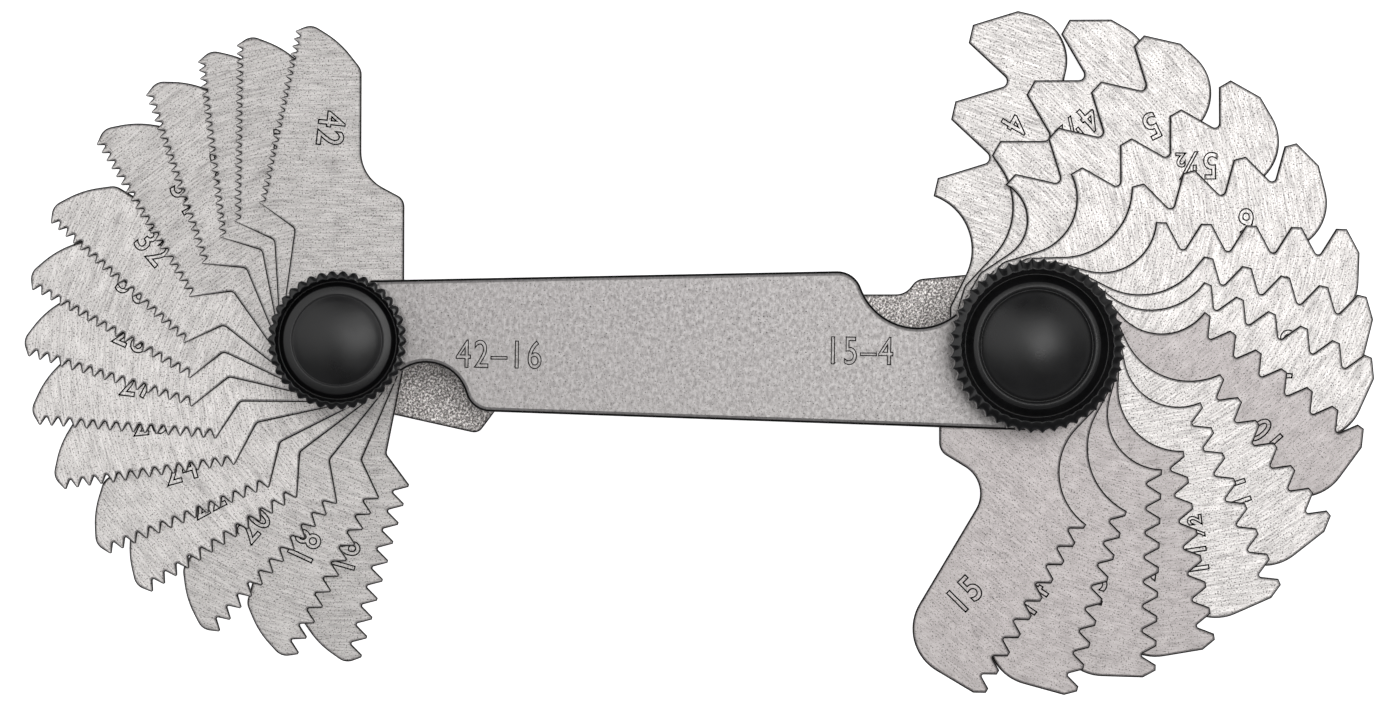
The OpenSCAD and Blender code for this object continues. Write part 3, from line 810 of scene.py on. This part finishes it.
# %% Black ABS
moulded, tree = new_material("moulded_black_abs")
place = node(tree, "Mapping", {"Vector": node(tree, "TexCoord", {}, "Object"), "Scale": (1 / mm,) * 3})
erosion = node(tree, "TexNoise", {"Vector": place, "Scale": 12.0, "Detail": 2.0})
handling = node(tree, "TexNoise", {"Vector": place, "Scale": 0.45, "Detail": 3.0})
pointed = node(tree, "NewGeometry", {}, "Pointiness")
dusty = node(tree, "MapRange", {"Value": pointed, "From Min": 0.40, "From Max": 0.49, "To Min": 0.2,
                                "To Max": 0.0})
worn = node(tree, "MapRange", {"Value": handling, "From Min": 0.35, "From Max": 0.7})
colour = node(tree, "Mix", {0: worn, 6: linear("0d0d0e"), 7: linear("131314")}, 2, data_type="RGBA")
colour = node(tree, "Mix", {0: dusty, 6: colour, 7: linear("232222")}, 2, data_type="RGBA")
held = node(tree, "Attribute", {}, "Fac", attribute_name="held")
polish = node(tree, "MapRange", {"Value": held, "From Min": 0.05, "From Max": 0.3, "To Max": 0.14})
rough = node(tree, "MapRange", {"Value": handling, "From Min": 0.3, "From Max": 0.7, "To Min": 0.26,
                                "To Max": 0.34})
rough = node(tree, "Math", {0: rough, 1: polish}, operation="SUBTRACT")
grain = node(tree, "MapRange", {"Value": held, "From Min": 0.05, "From Max": 0.3, "To Min": 0.6,
                                "To Max": 0.1})
bump = node(tree, "Bump", {"Strength": grain, "Distance": 0.006 * mm, "Height": erosion})
shader = node(tree, "BsdfPrincipled", {"Base Color": colour, "Roughness": rough, "Specular IOR Level": 0.4,
                                       "Normal": bump})
node(tree, "OutputMaterial", {"Surface": shader})
for piece in cap_pieces.values():
    piece.data.materials.append(moulded)
print("caps:", [piece.name for piece in cap_pieces.values()])

# %% [markdown]
# ## Camera
# The gauge lies flat and is looked at from straight above. The view is 112.4 mm wide half a
# metre below the lens. The camera stands a millimetre or so aside and is turned by less than half
# a degree, as a hand leaves it.

# %% Set the camera
sensor, view_width, distance = 36.0, 112.4, 500  # all in mm
height, aside, turn = 0.505, (0.00101, -0.00141), math.radians(0.43)  # metres and radians
lens = bpy.data.cameras.new("camera")
lens.sensor_width, lens.lens = sensor, sensor * distance / view_width
lens.clip_start, lens.clip_end = 0.01, 10
camera = bpy.data.objects.new("camera", lens)
camera.location, camera.rotation_euler = (*aside, height), (0, 0, turn)
bpy.context.scene.collection.objects.link(camera)
bpy.context.scene.camera = camera
bpy.context.scene.view_settings.view_transform = "Standard"
print("camera", height, "m up, lens", round(lens.lens, 1), "mm")

# %% [markdown]
# ## Lamps
# Ground steel shows what it mirrors, so the light is a small studio. A key softbox hangs a
# little to the right of overhead, and a larger, weaker one to the left. Both are soft, so that
# the shine on the leaves has no hard edge.

# %% Hang two softboxes
def softbox(name, place, size, power):
    """A square area lamp at a place, turned to face the origin."""
    data = bpy.data.lights.new(name, "AREA")
    data.shape, data.size, data.energy = "SQUARE", size, power
    made = bpy.data.objects.new(name, data)
    x, y, z = place
    made.location = place
    made.rotation_euler = (0, math.acos(z / math.hypot(x, y, z)), math.atan2(y, x))
    bpy.context.scene.collection.objects.link(made)
    return made


lamps = [softbox("key_softbox", (0.12, 0.065, 0.75), 0.3, 1.15),
         softbox("side_softbox", (-0.3, 0.14, 0.7), 0.5, 0.95)]
print("lamps:", [lamp.name for lamp in lamps])

# %% [markdown]
# ## Sky
# The sky fills in what the lamps leave. It is grey overhead and darkest some 40 degrees away
# from there, where tilted edges mirror it. Towards the horizon it is bright, and a bright window
# on the right reaches up into the dark ring, so that the steel isn't dark when it is seen from
# the side. The camera itself sees white behind everything.

# %% Paint the sky
window = (0.62, 0.50, 0.60)  # the direction of the window's middle
world = bpy.data.worlds.new("sky")
bpy.context.scene.world = world
world.use_nodes = True
tree = world.node_tree
tree.nodes.clear()
direction = node(tree, "TexCoord", {}, "Generated")
up = node(tree, "SeparateXYZ", {"Vector": direction}, "Z")
sky = node(tree, "ValToRGB", {"Fac": up}, stops=((0.0, "f2f2f4"), (0.6, "e6e6e8"), (0.78, "545456"),
                                                 (0.9, "707070"), (0.98, "949494")))
toward = node(tree, "VectorMath", {0: direction, 1: window}, "Value", operation="DOT_PRODUCT")
in_window = node(tree, "MapRange", {"Value": toward, "From Min": 0.82, "From Max": 0.97})
sky = node(tree, "Mix", {0: in_window, 6: sky, 7: linear("f4f4f4")}, 2, data_type="RGBA")
sky = node(tree, "Background", {"Color": sky, "Strength": 1.0})
white = node(tree, "Background", {"Color": (1, 1, 1, 1), "Strength": 1.0})
seen = node(tree, "LightPath", {}, "Is Camera Ray")
backdrop = node(tree, "MixShader", {0: seen, 1: sky, 2: white})
node(tree, "OutputWorld", {"Surface": backdrop})
print("sky nodes:", len(tree.nodes))

# %% [markdown]
# ## Floor
# The floor is white card. It glows a little for the camera alone, so that it reads as a white
# background and still keeps the shadow, and the gauge gets no extra light from it. It lies a
# twentieth of a millimetre under the case, so that the two don't share a plane.

# %% Lay the floor
reach, below = 1.5, -0.05 * mm
mesh = bpy.data.meshes.new("floor")
mesh.from_pydata([(-reach, -reach, below), (reach, -reach, below), (reach, reach, below),
                  (-reach, reach, below)], [], [(0, 1, 2, 3)])
floor = bpy.data.objects.new("floor", mesh)
bpy.context.scene.collection.objects.link(floor)
card, tree = new_material("white_card")
direct = node(tree, "LightPath", {}, "Is Camera Ray")
matt = node(tree, "BsdfDiffuse", {"Color": linear("e6e6e6")})
glow = node(tree, "Emission", {"Color": (1, 1, 1, 1), "Strength": 0.86})
lit = node(tree, "AddShader", {0: matt, 1: glow})
shown = node(tree, "MixShader", {0: direct, 1: matt, 2: lit})
node(tree, "OutputMaterial", {"Surface": shown})
floor.data.materials.append(card)
print("floor:", 2 * reach, "m wide")
